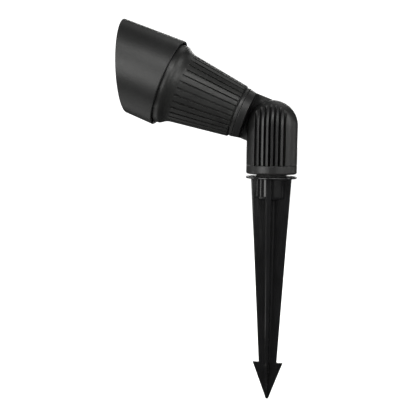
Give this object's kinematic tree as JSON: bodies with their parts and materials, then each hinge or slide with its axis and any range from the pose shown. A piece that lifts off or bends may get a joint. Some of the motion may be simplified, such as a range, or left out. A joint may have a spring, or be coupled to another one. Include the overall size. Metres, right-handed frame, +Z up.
{
  "type": "garden spotlight on a ground spike",
  "caption": "Black garden spotlight with slanted glare hood and ribbed conical housing on a tilting two-cheek knuckle, screwed into a four-fin ground spike with flange",
  "frame": {"origin": "on the spike's axis at the underside of its ground flange, where it meets the soil", "axes": "+Z up along the spike, the lamp looks towards -Y and 21.3 degrees up, X is the knuckle's tilt axis"},
  "size_m": [0.0708, 0.1403, 0.3032],
  "materials": {
    "knuckle_coat": "die-cast, under a satin black powder coat",
    "housing_coat": "die-cast, under a satin black powder coat",
    "hood_coat": "turned, under a fine-textured black powder coat",
    "spike_plastic": "glossy black moulded nylon",
    "seal_rubber": "matt black silicone rubber",
    "washer_nylon": "black nylon",
    "brass": "machined",
    "steel": "stainless, A2",
    "socket_white": "glazed steatite, stored as a plain white body",
    "lead_white": "silicone insulation",
    "lamp_aluminium": "bead blasted",
    "lamp_plastic": "moulded",
    "pin_metal": "nickel plated",
    "board_white": "white solder mask",
    "chip_yellow": "phosphor",
    "optic_clear": "clear moulded optic",
    "front_glass": "clear tempered glass"
  },
  "bodies": {
    "stake": {"ground_stake": "spike_plastic", "cable_grommet": "seal_rubber"},
    "knuckle": {"knuckle_base": "knuckle_coat", "threaded_stem": "brass", "stem_gasket": "seal_rubber", "hinge_nut": "steel"},
    "head": {"swivel_arm": "knuckle_coat", "hinge_washer": "washer_nylon", "neck_ring": "knuckle_coat", "neck_gasket": "seal_rubber", "arm_nipple": "brass", "nipple_lock_nut": "brass", "housing": "housing_coat", "barrel_o_rings": "seal_rubber", "socket_bracket": "steel", "bracket_screws": "steel", "lamp_socket": "socket_white", "socket_leads": "lead_white", "lamp_pins": "pin_metal", "lamp_base": "lamp_plastic", "lamp_body": "lamp_aluminium", "led_board": "board_white", "led_chips": "chip_yellow", "lamp_optic": "optic_clear", "lens_gasket": "seal_rubber", "front_lens": "front_glass", "lens_ring": "hood_coat", "clamp_washer": "steel", "spring_washer": "steel"},
    "hood": {"hood": "hood_coat"},
    "clamp_screw": {"clamp_screw": "steel"}
  },
  "joints": [
    {"name": "pan", "type": "hinge", "parent": "stake", "child": "knuckle", "pos_m": [0, 0, 0], "axis": [0, 0, 1], "range_deg": [-170, 170]},
    {"name": "tilt", "type": "hinge", "parent": "knuckle", "child": "head", "pos_m": [0, 0, 0.0416], "axis": [-1, 0, 0], "range_deg": [-21, 158]},
    {"name": "hood_turn", "type": "hinge", "parent": "head", "child": "hood", "pos_m": [0, 0, 0.0416], "axis": [0, -0.9317, 0.3633], "continuous": true},
    {"name": "clamp_screw_turn", "type": "hinge", "parent": "head", "child": "clamp_screw", "pos_m": [0, 0, 0.0416], "axis": [-1, 0, 0], "range_deg": [0, 720]}
  ]
}
